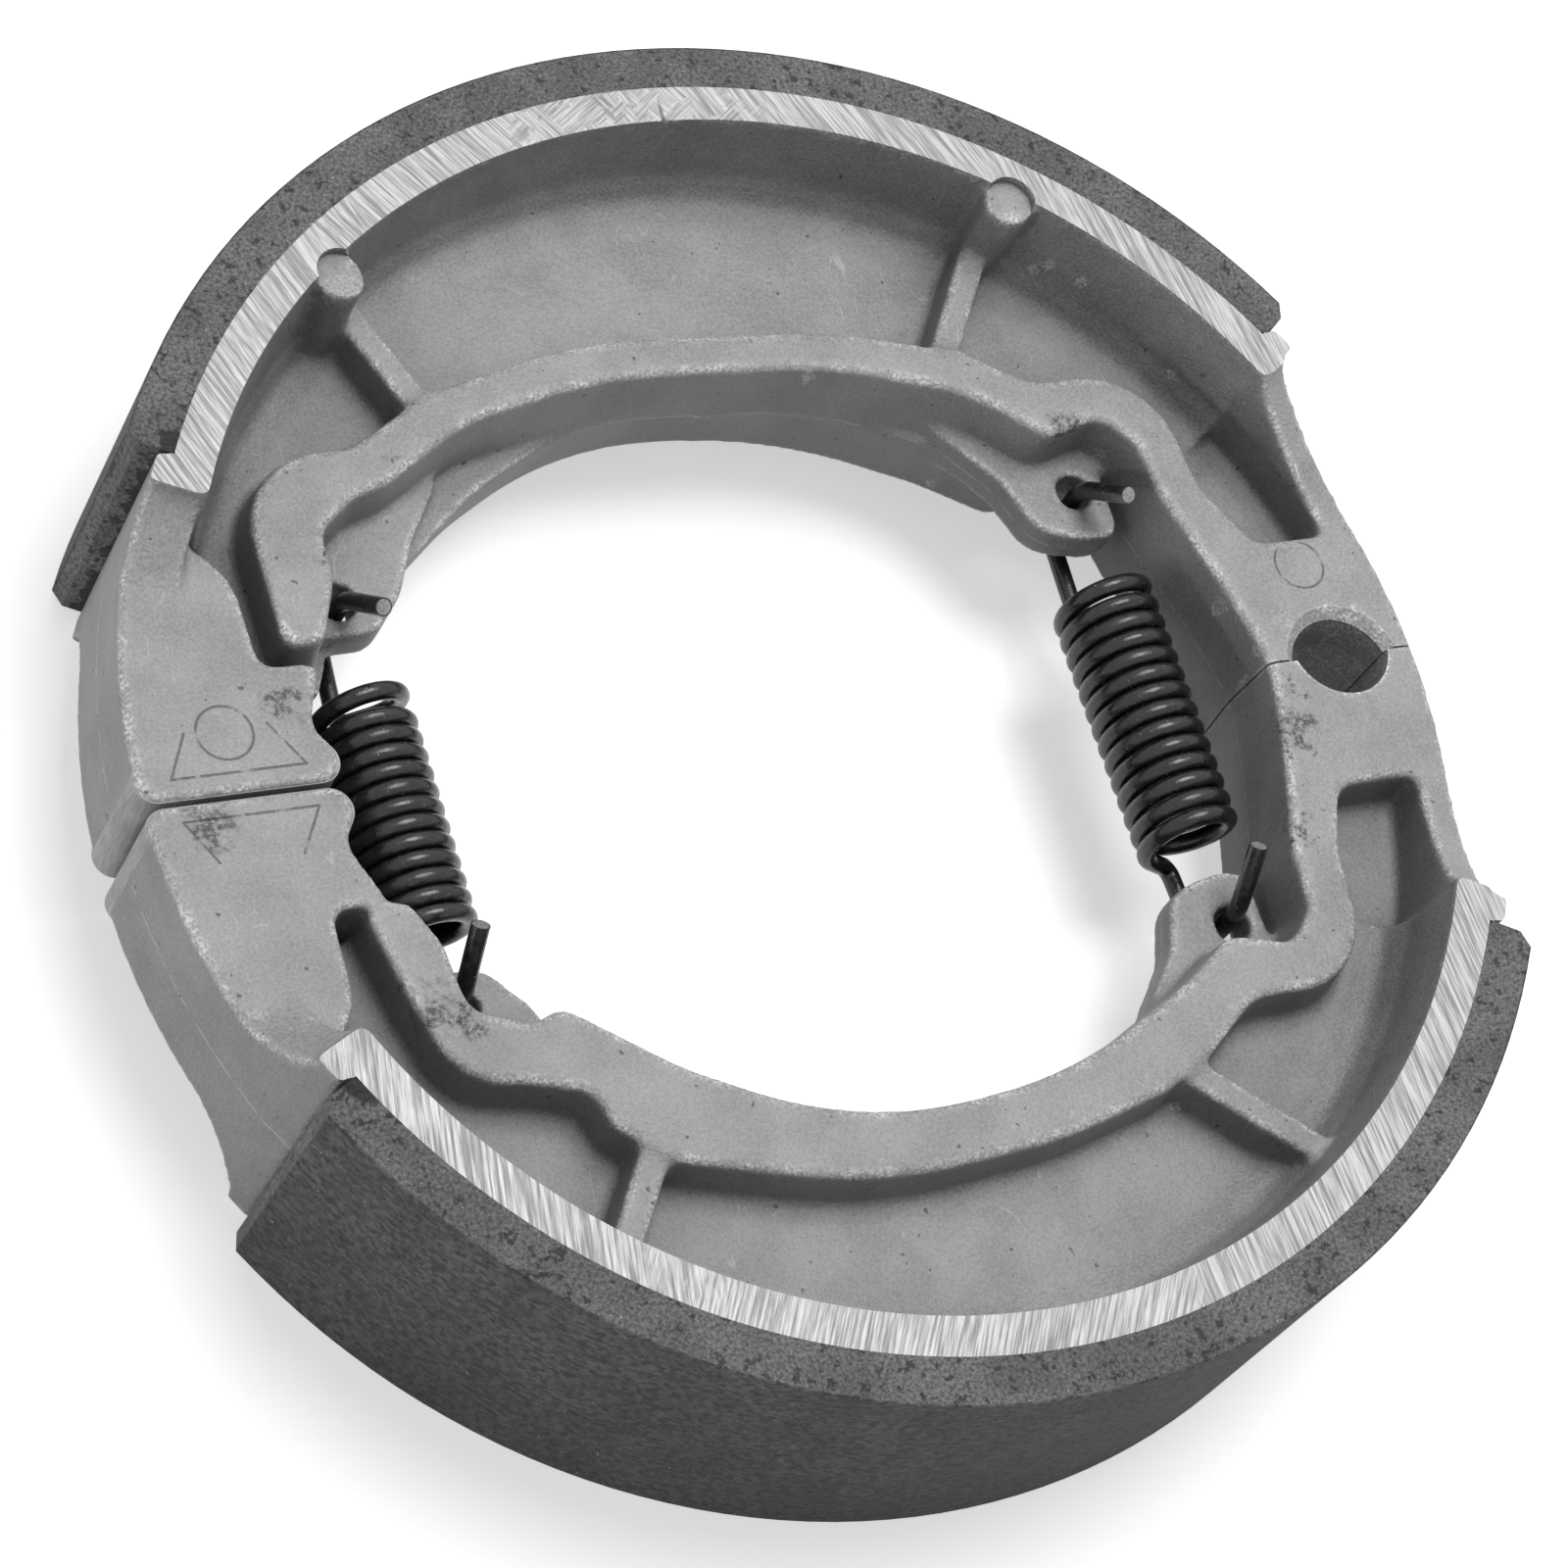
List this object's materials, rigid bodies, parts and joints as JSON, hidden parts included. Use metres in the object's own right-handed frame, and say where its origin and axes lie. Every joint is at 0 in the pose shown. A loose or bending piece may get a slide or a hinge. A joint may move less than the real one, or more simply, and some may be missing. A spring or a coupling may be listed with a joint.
{
  "type": "drum brake shoe set",
  "caption": "Drum brake shoe set: curved cast shoes with bonded linings, held together between cam end and anchor end by coil return springs.",
  "frame": {"origin": "on the drum axis, at half the shoe width", "axes": "+X from the cam end to the anchor end, +Y from the lower shoe to the upper shoe, +Z along the drum axis towards the viewer"},
  "size_m": [0.1231, 0.13, 0.028],
  "materials": {
    "casting": "as cast, fine grain, dull",
    "lining": "resin-bonded friction compound, speckled",
    "cam_plate": "dull pressed steel",
    "spring": "glossy black"
  },
  "bodies": {
    "lower": {"lower_shoe": "casting", "lower_lining": "lining", "lower_cam_plate": "cam_plate", "cam_side_spring": "spring", "anchor_side_spring": "spring"},
    "upper": {"upper_shoe": "casting", "upper_lining": "lining", "upper_cam_plate": "cam_plate"}
  },
  "joints": [
    {"name": "shoe_spread", "type": "hinge", "parent": "lower", "child": "upper", "pos_m": [0.0606, 0, 0], "axis": [0, 0, -1], "range_deg": [0, 5], "stiffness_Nm_per_rad": 20, "deforming": ["cam_side_spring", "anchor_side_spring"]}
  ]
}
